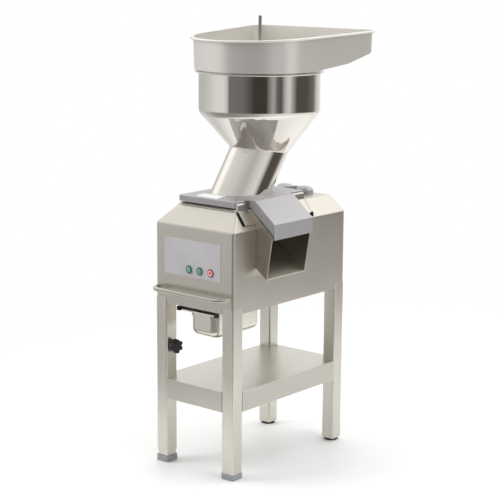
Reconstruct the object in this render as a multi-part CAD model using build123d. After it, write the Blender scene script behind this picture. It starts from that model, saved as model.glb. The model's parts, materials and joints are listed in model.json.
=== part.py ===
from build123d import *
import math
import os

# Floor-standing vegetable cutting machine with a continuous feed hopper, in millimetres.
# Working frame: X = 0 on the casing's middle, Y = 0 on its front face, Z = 0 on the floor.
# +X is the outlet side, -Y the operator's side, and the feed head opens towards +Y.
# At the end every piece moves so that the origin lies under the middle of the whole machine.

# Stand
leg_side = 45.0
leg_wall = 2.0
leg_corner = 5.0
stand_height = 526.5
base_plate_thickness = 3.0
shelf_top = 270.0
shelf_apron = 63.0
shelf_sheet = 1.5
shelf_step = 1.0
cap_height = 19.0
cap_overhang = 1.0
plug_depth = 22.0
plug_wall = 3.0
glide_height = 8.0
glide_diameter = 45.0
foot_tube_gap = 15.0
foot_tube_top = 440.0
slide_clearance = 0.4
clamp_height = 372.0
clamp_stud = 8.0
knob_diameter = 44.0
knob_lobes = 6
knob_depth = 18.0
boss_depth = 8.0

# Casing
casing_width = 310.0
casing_length = 545.0
wall_top = 755.0
casing_top = 807.0
side_run = 38.0
front_run = 57.0
rear_run = 28.0
sheet = 1.5
apron_drop = 17.0
casing_round = 9.0
edge_gap = 0.3

# Handle and control panel
handle_tube = 14.0
handle_wall = 1.5
handle_span = 284.0
handle_height = 557.0
handle_reach = 38.0
handle_bend = 35.0
panel_left = -118.0
panel_right = 104.0
panel_bottom = 604.0
panel_top = 716.0
panel_thickness = 0.8
button_places = {"button_start_low": -18.0, "button_start_high": 24.0, "button_stop": 67.0}
button_rise = 23.0
button_diameter = 22.0
button_proud = 4.0
button_depth = 8.0
button_travel = 2.5
bezel_width = 1.6
bezel_depth = 1.4
stem_diameter = 8.0
gland_inset = 60.0
gland_z = 560.0
gland_radius = 10.0

# Container under the casing and its runners
pan_width = 153.0
pan_front = 20.0
pan_length = 250.0
pan_drop = 31.0
pan_depth = 82.0
pan_flange = 17.0
pan_sheet = 1.0
pan_shoulder = 22.0
pan_shoulder_step = 3.0
pan_corner = 32.0
runner_sheet = 2.0
runner_lip = 10.0
runner_gap = 1.5

# Cutting chamber, outlet and raised surround
bowl_y = 205.0
bowl_radius = 98.0
bowl_wall = 2.0
bowl_lip = 1.2
bowl_floor = 680.0
bowl_flange = 104.0
lid_underside = 818.0
seal_width = 4.5
chute_front = 102.0
chute_rear = 285.0
chute_wall_height = 639.0
lip_reach = 196.0
lip_height = 607.0
mouth_reach = 218.0
mouth_height = 741.0
chute_sheet = 1.5
chute_slot_x = 40.0
surround_proud = 7.0
surround_front = 59.0
surround_rear = 375.0
surround_foot = 768.0
wing_proud = 5.5
wing_top = 831.5
wing_gap = 1.3

# Feed head: lid with hood, leaning tube, hopper and tray
lid_left = -113.0
lid_right = 112.0
lid_front = 57.0
lid_rear = 380.0
lid_top = 840.0
lid_edge_top = 836.5
lid_crown = 36.0
lid_edge = 1.5
lid_skin = 6.0
hood_bend_x = 148.0
hood_edge_x = 224.0
hood_edge_z = 776.0
hood_lip_z = 730.0
hood_skin = 4.0
hood_cheek_x = 128.0
hood_gap = 1.6
tube_radius = 86.0
tube_wall = 2.0
tube_lean = 35.0
tube_foot = 824.0
hopper_y = 301.0
mitre_height = 959.0
mitre_tilt = 9.0
hopper_radius = 187.0
hopper_sheet = 1.5
hopper_shoulder = 1091.0
hopper_shoulder_round = 34.0
hopper_rim = 1203.0
hopper_rim_radius = 199.0
rim_roll = 3.5
tray_radius = 205.0
tray_half_width = 243.0
tray_rear = 583.0
tray_corner = 36.0
tray_taper = 5.0
tray_floor = 1208.0
tray_knee_y = 454.0
tray_knee_z = 1227.0
tray_rear_floor = 1264.0
tray_rim_front = 1303.0
tray_rim_rear = 1325.0
tray_sheet = 1.5
tray_bead = 6.5
tray_bead_reach = 7.5
collar_depth = 13.0
collar_gap = 1.0
rod_diameter = 10.0
rod_top = 1370.0
spider_height = 1012.0
spider_bar = 12.0
arm_diameter = 8.0

# Hinge of the feed head
hinge_x = 3.0
hinge_y = 478.0
hinge_z = 818.0
hinge_pin = 10.0
lug_width = 56.0
lug_length = 46.0
lug_rise = 23.0
arm_width = 22.0
hinge_clearance = 0.05

# Drive: spindle under the bowl, motor behind it, flat belt between their pulleys
spindle_diameter = 25.0
nose_diameter = 20.0
drive_plate_height = 568.0
drive_plate_thickness = 6.0
housing_radius = 42.0
housing_foot = 62.0
housing_nose = 32.0
bearing_outer = 52.0
bearing_width = 15.0
pulley_height = 537.0
pulley_width = 20.0
large_pulley = 90.0
small_pulley = 22.5
belt_thickness = 3.0
running_gap = 0.3
shaft_clearance = 0.05
disc_radius = 95.0
ejector_gap = 4.0
ejector_plate = 4.0
paddle_height = 22.0
slicer_drop = 24.0
slicer_thickness = 3.0
blade_count = 3
nut_diameter = 34.0
nut_height = 15.0
motor_y = 418.0
motor_radius = 74.0
motor_top = 772.0
motor_wall = 8.0
motor_shaft = 9.5
fin_count = 24
fin_height = 7.0
shield_height = 18.0
rotor_radius = 42.0
fan_radius = 52.0


def box(x0, x1, y0, y1, z0, z1):
    """Box between two corners."""
    return Pos((x0 + x1) / 2, (y0 + y1) / 2, (z0 + z1) / 2) * Box(x1 - x0, y1 - y0, z1 - z0)


def post(radius, x, y, z0, z1):
    """Upright round bar."""
    return Pos(x, y, (z0 + z1) / 2) * Cylinder(radius, z1 - z0)


def ring(outer, inner, x, y, z0, z1):
    """Upright round tube."""
    return post(outer, x, y, z0, z1) - post(inner, x, y, z0 - 1, z1 + 1)


def bar_x(radius, x0, x1, y, z):
    """Round bar along X."""
    return Pos((x0 + x1) / 2, y, z) * Rot(0, 90, 0) * Cylinder(radius, x1 - x0)


def bar_y(radius, x, y0, y1, z):
    """Round bar along Y."""
    return Pos(x, (y0 + y1) / 2, z) * Rot(90, 0, 0) * Cylinder(radius, y1 - y0)


def along_y(points, y0, y1):
    """Outline in XZ, given depth along Y."""
    face = Plane.XZ * make_face(Polyline(*points, close=True))
    return Pos(0, y1, 0) * extrude(face, y1 - y0)


def along_x(points, x0, x1):
    """Outline in YZ, given depth along X."""
    face = Plane.YZ * make_face(Polyline(*points, close=True))
    return Pos(x0, 0, 0) * extrude(face, x1 - x0)


def turned(points, x, y):
    """Solid of revolution about the upright line at x, y from radius and height points."""
    face = Plane.XZ * make_face(Polyline(*points, close=True))
    return Pos(x, y, 0) * revolve(face, Axis.Z)


def square_tube(side, wall, corner, x, y, z0, z1):
    """Upright square tube with rounded corners."""
    outer = RectangleRounded(side, side, corner)
    inner = RectangleRounded(side - 2 * wall, side - 2 * wall, corner - wall)
    return Pos(x, y, z0) * extrude(outer - inner, z1 - z0)


leg_x = (casing_width - leg_side) / 2
leg_front = leg_side / 2
leg_rear = casing_length - leg_side / 2
apron_bottom = stand_height - apron_drop
plate_top = stand_height + base_plate_thickness
pan_flange_height = stand_height - pan_drop
button_height = panel_bottom + button_rise
bowl_rim = casing_top + surround_proud
ejector_height = bowl_floor + ejector_gap
slicer_height = bowl_rim - slicer_drop
gland_x = gland_inset - casing_width / 2
foot_tube_side = leg_side - 2 * leg_wall - 2 * slide_clearance
foot_tube_corner = leg_corner - leg_wall - slide_clearance


def legs():
    """Four square-tube legs, each ending where its own foot begins."""
    ends = {
        "leg_front_left": (-leg_x, leg_front, cap_height + foot_tube_gap),
        "leg_front_right": (leg_x, leg_front, cap_height),
        "leg_rear_left": (-leg_x, leg_rear, glide_height),
        "leg_rear_right": (leg_x, leg_rear, glide_height),
    }
    made = {}
    for name, (x, y, bottom) in ends.items():
        made[name] = square_tube(leg_side, leg_wall, leg_corner, x, y, bottom, stand_height)
    hole = bar_x(clamp_stud / 2 + 0.2, -leg_x, 0, leg_front, clamp_height)
    made["leg_front_left"] -= hole
    return made


def plug(side, x, y, z0):
    """Hollow square plug that holds a foot in its tube."""
    inner = side - 2 * plug_wall
    outline = RectangleRounded(side, side, leg_corner - leg_wall) - RectangleRounded(
        inner, inner, 1.0)
    return Pos(x, y, z0) * extrude(outline, plug_depth)


def feet():
    """Plastic square caps in front, round glides behind, and the telescopic foot's tube."""
    made = {}
    made["telescopic_foot_tube"] = square_tube(
        foot_tube_side, leg_wall, foot_tube_corner, -leg_x, leg_front, cap_height, foot_tube_top)
    side = leg_side + 2 * cap_overhang
    cap = extrude(RectangleRounded(side, side, leg_corner), cap_height)
    cap = chamfer(cap.faces().sort_by(Axis.Z)[0].edges(), 1.5)
    inside_leg = leg_side - 2 * leg_wall - 0.4
    inside_foot = foot_tube_side - 2 * leg_wall - 0.4
    made["foot_cap_front_right"] = Pos(leg_x, leg_front, 0) * cap + plug(
        inside_leg, leg_x, leg_front, cap_height)
    made["foot_cap_front_left"] = Pos(-leg_x, leg_front, 0) * cap + plug(
        inside_foot, -leg_x, leg_front, cap_height)
    for name, x in (("glide_rear_left", -leg_x), ("glide_rear_right", leg_x)):
        pad = Pos(x, leg_rear, 0) * Cylinder(
            glide_diameter / 2, glide_height, align=(Align.CENTER, Align.CENTER, Align.MIN))
        pad = chamfer(pad.faces().sort_by(Axis.Z)[0].edges(), 1.2)
        made[name] = pad + plug(inside_leg, x, leg_rear, glide_height)
    return made


def clamp():
    """Lobed knob with its stud, and the threaded boss welded on the leg."""
    face = -leg_x + leg_side / 2
    start = face + boss_depth + 1.0
    lobe = knob_diameter * 0.155
    reach = knob_diameter / 2 - lobe
    outline = Circle(reach)
    for turn in range(knob_lobes):
        angle = math.radians(360 / knob_lobes * (turn + 0.5))
        outline += Pos(reach * math.cos(angle), reach * math.sin(angle)) * Circle(lobe)
    head = extrude(Plane.YZ * outline, knob_depth)
    head = Pos(start, leg_front, clamp_height) * head
    head = chamfer(head.faces().sort_by(Axis.X)[-1].edges(), 2.0)
    neck = bar_x(knob_diameter * 0.24, start - 1.0, start + 1.0, leg_front, clamp_height)
    foot_face = -leg_x + foot_tube_side / 2
    stud = bar_x(clamp_stud / 2, foot_face + running_gap, start + 2, leg_front, clamp_height)
    boss = bar_x(clamp_stud, face, face + boss_depth, leg_front, clamp_height)
    boss -= bar_x(clamp_stud / 2 + 0.2, face - 1, face + boss_depth + 1, leg_front, clamp_height)
    return {"foot_clamp_knob": head + neck + stud, "clamp_boss": boss}


def shelf():
    """Folded shelf between the legs, open underneath, notched round each leg."""
    edge = shelf_step
    x0, x1 = -casing_width / 2 + edge, casing_width / 2 - edge
    y0, y1 = edge, casing_length - edge
    tray = box(x0, x1, y0, y1, shelf_top - shelf_apron, shelf_top)
    for x in (x0, x1):
        for y in (y0, y1):
            notch = leg_side + edge_gap
            tray -= Pos(math.copysign(casing_width / 2, x), 0 if y == y0 else casing_length, 0) * box(
                -notch, notch, -notch, notch, 0, shelf_top + 1)
    hollow = box(x0 + shelf_sheet, x1 - shelf_sheet, y0 + shelf_sheet, y1 - shelf_sheet,
                 shelf_top - shelf_apron - 1, shelf_top - shelf_sheet)
    for x in (-1, 1):
        for y in (0, casing_length):
            notch = leg_side + edge_gap + shelf_sheet
            hollow -= Pos(x * casing_width / 2, y, 0) * box(
                -notch, notch, -notch, notch, 0, shelf_top)
    return {"shelf": tray - hollow}


def roof(inset, rounding):
    """Casing body with a hipped top: the outer form, or the inner one at an inset."""
    half = casing_width / 2 - inset
    back = casing_length - inset
    low = Pos(0, casing_length / 2, wall_top) * Rectangle(2 * half, back - inset)
    top_y0 = front_run + inset * 0.5
    top_y1 = casing_length - rear_run - inset * 0.5
    top_half = casing_width / 2 - side_run - inset * 0.5
    high = Pos(0, (top_y0 + top_y1) / 2, casing_top - inset) * Rectangle(
        2 * top_half, top_y1 - top_y0)
    hip = loft([low.face(), high.face()], ruled=True)
    body = box(-half, half, inset, back, apron_bottom - (1 if inset else 0), wall_top) + hip
    soft = [e for e in body.edges() if e.center().Z > apron_bottom + 5]
    return fillet(soft, rounding)


chute_slope = (hood_edge_z - lid_top) / (hood_edge_x - hood_bend_x)
chute_inner_x = (mouth_reach + (mouth_height - (casing_top + surround_proud)) / -chute_slope)
floor_slope = (lip_height - chute_wall_height) / (lip_reach - casing_width / 2)
half_width = casing_width / 2


def chute_outline(x_start):
    """Side view of the outlet: sloping floor, leaning mouth and the wall's parallel top."""
    top = casing_top + surround_proud
    return [
        (x_start, chute_wall_height + floor_slope * (x_start - half_width)),
        (lip_reach, lip_height),
        (mouth_reach, mouth_height),
        (chute_inner_x, top),
        (x_start, top),
    ]


def casing():
    """Folded casing: open below, with holes for the bowl, outlet, buttons and gland."""
    shell = roof(0, casing_round) - roof(sheet, casing_round - sheet)
    for x in (-1, 1):
        for y in (0, casing_length):
            shell -= Pos(x * half_width, y, 0) * box(
                -leg_side - edge_gap, leg_side + edge_gap, -leg_side - edge_gap,
                leg_side + edge_gap, apron_bottom - 5, stand_height)
    shell -= post(bowl_radius + bowl_wall + 1.5, 0, bowl_y, casing_top - 30, casing_top + 5)
    shell -= along_y(chute_outline(0), chute_front - edge_gap, chute_rear + edge_gap)
    for x in button_places.values():
        shell -= bar_y(button_diameter / 2 + 0.5, x, -5, 20, button_height)
    shell -= bar_y(gland_radius, gland_x, casing_length - 10, casing_length + 10, gland_z)
    return {"casing": shell}


def base_plate():
    """Closing plate on the leg tops, with a vent grid under the motor."""
    inset = sheet + edge_gap
    plate = box(-half_width + inset, half_width - inset, inset, casing_length - inset,
                stand_height, plate_top)
    plate = fillet(plate.edges().filter_by(Axis.Z), casing_round)
    for row in range(7):
        y = motor_y - 48 + row * 16
        slot = Pos(0, y, stand_height - 1) * extrude(SlotOverall(90, 6), base_plate_thickness + 2)
        plate -= slot
    return {"base_plate": plate}


def handle():
    """Bent tube handle across the front."""
    half = handle_span / 2
    path = FilletPolyline((-half, 0, handle_height), (-half, -handle_reach, handle_height),
                          (half, -handle_reach, handle_height), (half, 0, handle_height),
                          radius=handle_bend)
    start = Plane(origin=(-half, 0, handle_height), z_dir=(0, -1, 0))
    outer = sweep(start * Circle(handle_tube / 2), path)
    inner = sweep(start * Circle(handle_tube / 2 - handle_wall), path)
    return {"handle": outer - inner}


def controls():
    """Panel plate, bezels, three push buttons and the contact blocks behind them."""
    plate = box(panel_left, panel_right, -panel_thickness, 0, panel_bottom, panel_top)
    plate = fillet(plate.edges().filter_by(Axis.Y), 3.0)
    bezels = []
    blocks = []
    made = {}
    bore = button_diameter / 2 + 0.4
    cap_back = button_depth - button_proud
    block_front = cap_back + button_travel + 0.5
    for name, x in button_places.items():
        plate -= bar_y(button_diameter / 2 + 0.5, x, -5, 5, button_height)
        bezel = bar_y(bore + bezel_width, x, -panel_thickness - bezel_depth, -panel_thickness,
                      button_height)
        bezels.append(bezel - bar_y(bore, x, -20, 20, button_height))
        cap = bar_y(button_diameter / 2, x, -panel_thickness - button_proud, cap_back,
                    button_height)
        cap = fillet(cap.faces().sort_by(Axis.Y)[0].edges(), 0.8)
        stem = bar_y(stem_diameter / 2, x, cap_back, block_front + 6, button_height)
        made[name] = cap + stem
        block = box(x - 13, x + 13, block_front, block_front + 34, button_height - 15,
                    button_height + 15)
        block += bar_y(15.0, x, sheet, block_front, button_height)
        block -= bar_y(bore + 0.3, x, sheet - 1, block_front, button_height)
        block -= bar_y(stem_diameter / 2 + 0.3, x, block_front - 1, block_front + 10, button_height)
        blocks.append(block)
    made["control_panel_plate"] = plate
    made["button_bezels"] = Compound(bezels)
    made["contact_blocks"] = Compound(blocks)
    return made


def pan_form(grow, top):
    """Container's body with shoulder and rounded bottom; grow is 0 outside, negative inside."""
    width = pan_width - 2 * pan_flange + 2 * grow
    length = pan_length - 2 * pan_flange + 2 * grow
    step = pan_shoulder_step
    bottom = pan_flange_height - pan_depth - grow
    shoulder = pan_shoulder + grow
    middle_y = pan_front + pan_length / 2
    upper = extrude(RectangleRounded(width, length, pan_corner + grow), shoulder)
    upper = Pos(0, middle_y, pan_flange_height - shoulder) * upper
    depth = pan_flange_height - shoulder - bottom
    lower = extrude(
        RectangleRounded(width - 2 * step, length - 2 * step, pan_corner - step + grow), depth)
    lower = fillet(lower.faces().sort_by(Axis.Z)[0].edges(), 20 + grow)
    body = upper + Pos(0, middle_y, bottom) * lower
    if top > pan_flange_height:
        body += Pos(0, middle_y, pan_flange_height) * extrude(
            RectangleRounded(width, length, pan_corner + grow), top - pan_flange_height)
    return body


def pan_and_runners():
    """Pull-out container with its flange in two folded runners under the base plate."""
    middle_y = pan_front + pan_length / 2
    flange = extrude(RectangleRounded(pan_width, pan_length, 8.0), -pan_sheet)
    pan = Pos(0, middle_y, pan_flange_height) * flange + pan_form(0, pan_flange_height)
    pan -= pan_form(-pan_sheet, pan_flange_height + 2)
    reach = pan_width / 2 + runner_gap - runner_lip - 2
    lip = box(-reach, reach, pan_front - 4, pan_front + 1, pan_flange_height - 5, pan_flange_height)
    pan += fillet(lip.edges().filter_by(Axis.X), 1.5)
    made = {"drip_pan": pan}
    runners = []
    guides = []
    web = pan_width / 2 + runner_gap
    low = pan_flange_height - pan_sheet - running_gap
    high = pan_flange_height + 3.0
    for side in (-1, 1):
        profile = [
            (web - runner_lip, low - runner_sheet), (web + runner_sheet, low - runner_sheet),
            (web + runner_sheet, stand_height - runner_sheet),
            (web + 16, stand_height - runner_sheet), (web + 16, stand_height),
            (web, stand_height), (web, high + runner_sheet),
            (web - runner_lip, high + runner_sheet), (web - runner_lip, high), (web, high),
            (web, low), (web - runner_lip, low),
        ]
        points = [(side * x, z) for x, z in profile]
        runners.append(along_y(points, pan_front + 2, pan_front + pan_length + 14))
        block = [
            (web - runner_lip, low - 4), (web + 3, low - 4), (web + 3, high + 4),
            (web - runner_lip, high + 4), (web - runner_lip, high), (web, high),
            (web, low), (web - runner_lip, low),
        ]
        points = [(side * x, z) for x, z in block]
        guides.append(along_y(points, pan_front - 8, pan_front + 2))
    made["pan_runners"] = Compound(runners)
    made["runner_end_caps"] = Compound(guides)
    return made


def chamber():
    """Cutting bowl with its outlet window, flange and seal."""
    outer = bowl_radius + bowl_wall
    rim = bowl_rim
    bowl = turned([
        (housing_nose + 0.5, bowl_floor - bowl_wall), (outer, bowl_floor - bowl_wall),
        (outer, rim), (bowl_flange, rim), (bowl_flange, rim + bowl_lip),
        (bowl_radius, rim + bowl_lip), (bowl_radius, bowl_floor), (housing_nose + 0.5, bowl_floor),
    ], 0, bowl_y)
    window = along_y(chute_outline(0), chute_front + chute_sheet, chute_rear - chute_sheet)
    window -= box(-casing_width, 0, 0, casing_length, 0, rim + 50)
    window -= box(-5, casing_width, 0, casing_length, 0, bowl_floor)
    bowl -= window
    seal = ring(bowl_flange - 0.5, bowl_flange - 0.5 - seal_width, 0, bowl_y,
                rim + bowl_lip, lid_underside - running_gap)
    return {"chamber_bowl": bowl, "bowl_seal": seal}


def chute():
    """Open-topped outlet trough, from the bowl's window to the leaning mouth."""
    outside = along_y(chute_outline(0), chute_front, chute_rear)
    drop = chute_sheet / math.cos(math.atan(floor_slope))
    inside = [(x, z + (drop if index < 2 else 0)) for index, (x, z) in enumerate(chute_outline(-5))]
    inside[1] = (lip_reach + 20, lip_height + drop + floor_slope * 20)
    inside[2] = (mouth_reach + 20, mouth_height)
    inside[3] = (mouth_reach + 20, casing_top + 60)
    inside[4] = (-5, casing_top + 60)
    trough = outside - along_y(inside, chute_front + chute_sheet, chute_rear - chute_sheet)
    trough -= post(bowl_radius + bowl_wall + 0.2, 0, bowl_y, lip_height - 100, casing_top + 60)
    trough -= box(-10, chute_inner_x, 0, casing_length, casing_top - 0.1, casing_top + 60)
    return {"outlet_chute": trough}


def surround():
    """Raised plate under the lid, with two wings that rise beside it and fold down the slope."""
    top = casing_top + surround_proud
    run = side_run * (casing_top - surround_foot) / (casing_top - wall_top)
    ridge = half_width - side_run
    tilt = math.atan2(casing_top - wall_top, side_run)
    dx, dz = wing_proud * math.sin(tilt), wing_proud * math.cos(tilt)
    lift = 0.15
    inner = lid_right + wing_gap
    bend = ridge + dx
    outline = [
        (lid_right - 8, casing_top + lift), (ridge, casing_top + lift),
        (ridge + run + lift, surround_foot + lift), (ridge + run + dx + lift, surround_foot + dz),
        (bend, casing_top + dz), (bend - 2, wing_top - 4.5), (bend - 4.5, wing_top),
        (inner, wing_top), (inner, top), (lid_right - 8, top),
    ]
    wings = along_y(outline, surround_front, surround_rear)
    # The flat part goes on in the casing's own front and left slopes.
    share = surround_proud / (casing_top - wall_top)
    rear = lid_rear - 4
    layers = []
    for z, grow in ((casing_top + lift, 0.0), (top, share)):
        x0, x1 = -ridge + grow * side_run, lid_right - 7
        y0 = front_run * (1 + grow)
        layers.append((Pos((x0 + x1) / 2, (y0 + rear) / 2, z) * Rectangle(x1 - x0, rear - y0)).face())
    plate = loft(layers, ruled=True) + wings
    low, high = surround_foot - 60, casing_top + 60
    plate -= post(bowl_radius + bowl_wall + edge_gap, 0, bowl_y, low, high)
    plate -= box(chute_slot_x, casing_width, chute_front - edge_gap, chute_rear + 1.2, low, high)
    return {"chamber_surround": plate}


def hood_line():
    """Height of the hood's outer slope at x."""
    return lambda x: lid_top + chute_slope * (x - hood_bend_x)


def lid():
    """Cast lid with its bevelled edge, tube socket, hinge arm and the hood over the outlet."""
    plate = box(lid_left, lid_right, lid_front, lid_rear, lid_underside, lid_edge_top)
    plate = fillet(plate.edges().filter_by(Axis.Z), 5.0)
    plate = chamfer(plate.faces().sort_by(Axis.Z)[-1].edges(), lid_edge)
    middle = Pos((lid_left + lid_right) / 2, (lid_front + lid_rear) / 2, 0)
    width, length = lid_right - lid_left, lid_rear - lid_front
    plate += loft([
        (middle * Pos(0, 0, z) * Rectangle(width - 2 * inset, length - 2 * inset)).face()
        for z, inset in ((lid_edge_top, 5.0), (lid_top, lid_crown))], ruled=True)
    pocket = box(lid_left + lid_skin, lid_right - lid_skin, lid_front + lid_skin,
                 lid_rear - lid_skin, lid_underside - 1, lid_top - lid_skin - 3)
    pocket = fillet(pocket.edges().filter_by(Axis.Z), 6.0)
    boss_top = lid_edge_top - 2
    boss = post(bowl_flange + 5, 0, bowl_y, lid_underside, boss_top)
    plate = plate - pocket + (boss & box(lid_left + 1, lid_right - 1, lid_front + 1, lid_rear,
                                         lid_underside, boss_top))
    for x in (-60, 0, 60):
        plate += box(x - 2.5, x + 2.5, bowl_y + bowl_flange - 12, lid_rear - 3, lid_underside + 4,
                     lid_top - 4)
    outer = hood_line()
    skin = hood_skin
    drop = skin / math.cos(math.atan(chute_slope))
    start = lid_right - lid_crown - 2
    top_run = [
        (start, lid_top), (hood_bend_x, lid_top), (hood_edge_x, hood_edge_z),
        (hood_edge_x, hood_lip_z), (hood_edge_x - skin, hood_lip_z),
        (hood_edge_x - skin, outer(hood_edge_x - skin) - drop),
        (hood_bend_x - skin / 2, lid_top - skin), (start, lid_top - skin),
    ]
    hood = along_y(top_run, chute_front + 2, chute_rear)
    wall_line = (casing_top + surround_proud - mouth_height) / (chute_inner_x - mouth_reach)
    low = mouth_height + hood_gap * 1.6
    flange = [
        (hood_cheek_x, lid_top - 1), (hood_bend_x - 1, lid_top - 1),
        (hood_edge_x - 1, hood_edge_z - 1), (hood_edge_x - 1, low),
        (mouth_reach, low), (chute_inner_x, low + wall_line * (chute_inner_x - mouth_reach)),
        (hood_cheek_x, casing_top + surround_proud + hood_gap * 1.6),
    ]
    hood += along_y(flange, chute_front + 2, chute_front + 2 + skin)
    hood += along_y(flange, chute_rear - skin, chute_rear)
    bends = [e for e in hood.edges().filter_by(Axis.Y)
             if e.center().Z > hood_edge_z - 2 and e.center().X > hood_bend_x - 1
             and abs(e.center().Z - outer(e.center().X)) < 0.5]
    hood = fillet(bends, 5.0)
    half = arm_width / 2 - 0.5
    arm = along_x([
        (lid_rear - 12, lid_underside + 2), (hinge_y, hinge_z - hinge_pin),
        (hinge_y, hinge_z + hinge_pin), (lid_rear - 12, lid_top - 4),
    ], hinge_x - half, hinge_x + half)
    knuckle = bar_x(hinge_pin, hinge_x - half, hinge_x + half, hinge_y, hinge_z)
    plate = plate + hood + arm + knuckle
    plate -= bar_x(hinge_pin / 2 + hinge_clearance, hinge_x - 40, hinge_x + 40, hinge_y, hinge_z)
    plate -= leaning_tube(tube_radius + 0.15, tube_foot, lid_top + 5)
    plate -= leaning_tube(tube_radius - tube_wall, lid_underside - 5, tube_foot + 5)
    return {"lid": plate}


def tube_axis_y(z):
    """Y of the leaning tube's axis at height z."""
    return hopper_y - (mitre_height - z) * math.tan(math.radians(tube_lean))


def leaning_tube(radius, z0, z1):
    """Round bar along the tube's axis, cut level at both heights."""
    middle = (z0 + z1) / 2
    span = (z1 - z0) / math.cos(math.radians(tube_lean)) + 6 * radius
    bar = Pos(0, tube_axis_y(middle), middle) * Rot(-tube_lean, 0, 0) * Cylinder(radius, span)
    wide = 2 * span
    return bar & box(-wide, wide, -wide, wide, z0, z1)


def above_mitre(depth):
    """Block over the mitre between tube and hopper."""
    plane = mitre_plane()
    return extrude(plane * Rectangle(900, 900), depth)


def mitre_plane():
    """Plane of the seam between the leaning tube and the upright hopper."""
    tilt = math.radians(mitre_tilt)
    return Plane(origin=(0, hopper_y, mitre_height), x_dir=(1, 0, 0),
                 z_dir=(0, math.sin(tilt), math.cos(tilt)))


def feed_tube():
    """Leaning tube from its seat in the lid up to the mitre."""
    tube = leaning_tube(tube_radius, tube_foot, mitre_height + 80)
    tube -= leaning_tube(tube_radius - tube_wall, tube_foot - 5, mitre_height + 90)
    return {"feed_tube": tube - above_mitre(300)}


cone_lean = math.atan2(hopper_radius - tube_radius, hopper_shoulder - mitre_height)


def hopper_form(inset, rim_points):
    """Filled hopper: mitred cone, rounded shoulder and upright wall below the given rim."""
    bend = hopper_shoulder_round - inset
    centre = hopper_radius - hopper_shoulder_round
    ends = [(centre + bend * math.cos(lean), hopper_shoulder - bend * math.sin(lean))
            for lean in (0, cone_lean / 2, cone_lean)]
    low = ends[2]
    sides = Polyline(ends[0], *rim_points, (0, rim_points[-1][1]), (0, low[1]), low)
    face = make_face(Wire([*sides.edges(), ThreePointArc(*ends).edge()]))
    radius = tube_radius - inset
    across = radius / math.cos(math.radians(tube_lean - mitre_tilt))
    mitre = (mitre_plane() * Ellipse(radius, across)).face()
    circle = (Pos(0, 0, low[1]) * Circle(low[0])).face()
    cone = loft([mitre, Pos(0, hopper_y, 0) * circle])
    return Pos(0, hopper_y, 0) * revolve(Plane.XZ * face, Axis.Z) + cone


def hopper():
    """Round hopper: rolled rim, upright wall, rounded shoulder and a mitred cone."""
    inner = hopper_radius - hopper_sheet
    body = hopper_form(0, [(hopper_radius, hopper_rim)])
    body -= hopper_form(hopper_sheet, [(inner, hopper_rim + 5)])
    lip = hopper_rim_radius - rim_roll / 2
    roll = Pos(0, hopper_y, hopper_rim - rim_roll / 2) * Torus(lip, rim_roll / 2)
    brim = ring(lip, inner, 0, hopper_y, hopper_rim - rim_roll, hopper_rim)
    return {"hopper": body + brim + roll}


def tray_outline(grow):
    """Plan of the tray: round front about the hopper, flared sides, rounded rear corners."""
    radius = tray_radius + grow
    half = tray_half_width + grow
    back = tray_rear - hopper_y + grow
    reach = math.hypot(half, back)
    touch = math.atan2(back, half) - math.acos(radius / reach)
    tangent = (radius * math.cos(touch), radius * math.sin(touch))
    sides = Polyline(tangent, (half, back), (-half, back), (-tangent[0], tangent[1]))
    front = ThreePointArc((-tangent[0], tangent[1]), (0, -radius), tangent)
    face = make_face(Wire([*sides.edges(), front.edge()]))
    corners = [v for v in face.vertices() if v.Y > back - 1]
    return fillet(corners, tray_corner + grow)


def rim_height(y):
    """Height of the tray's rim at y."""
    grade = (tray_rim_rear - tray_rim_front) / (tray_rear - hopper_y + tray_radius)
    return tray_rim_front + grade * (y - (hopper_y - tray_radius))


def tray_floor_line(lift):
    """Side view of the tray's floor from front to rear, raised by lift."""
    rear = tray_rear + 20
    steep = (tray_rear_floor - tray_knee_z) / (tray_rear - tray_knee_y)
    line = [(hopper_y - 300, tray_floor), (hopper_y, tray_floor), (tray_knee_y, tray_knee_z),
            (rear, tray_knee_z + steep * (rear - tray_knee_y))]
    return [(y, z + lift) for y, z in line]


def tray_solid(grow, lift, clear):
    """Tapered block of the tray from its floor to its sloping rim, each raised as given."""
    floor = Pos(0, hopper_y, tray_floor) * tray_outline(grow - tray_taper)
    head = Pos(0, hopper_y, tray_rim_rear + 40) * tray_outline(grow)
    block = loft([floor.face(), head.face()], ruled=True)
    floor_line = tray_floor_line(lift)
    front, rear = floor_line[0][0], floor_line[-1][0]
    side = floor_line + [(rear, rim_height(rear) + clear), (front, rim_height(front) + clear)]
    return block & along_x(side, -2 * tray_half_width, 2 * tray_half_width)


def tray_roll():
    """Rounded slab on the rim's sloping plane, whose edge is the tray's rolled rim."""
    grade = (tray_rim_rear - tray_rim_front) / (tray_rear - hopper_y + tray_radius)
    plane = Plane(origin=(0, hopper_y, rim_height(hopper_y) - tray_bead), x_dir=(1, 0, 0),
                  z_dir=(0, -grade, 1))
    roll = extrude((plane * tray_outline(tray_bead_reach)).face(), tray_bead)
    flat = roll.faces().sort_by(Axis.Z)
    return fillet(flat[0].edges() + flat[-1].edges(), tray_bead * 0.46)


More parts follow.
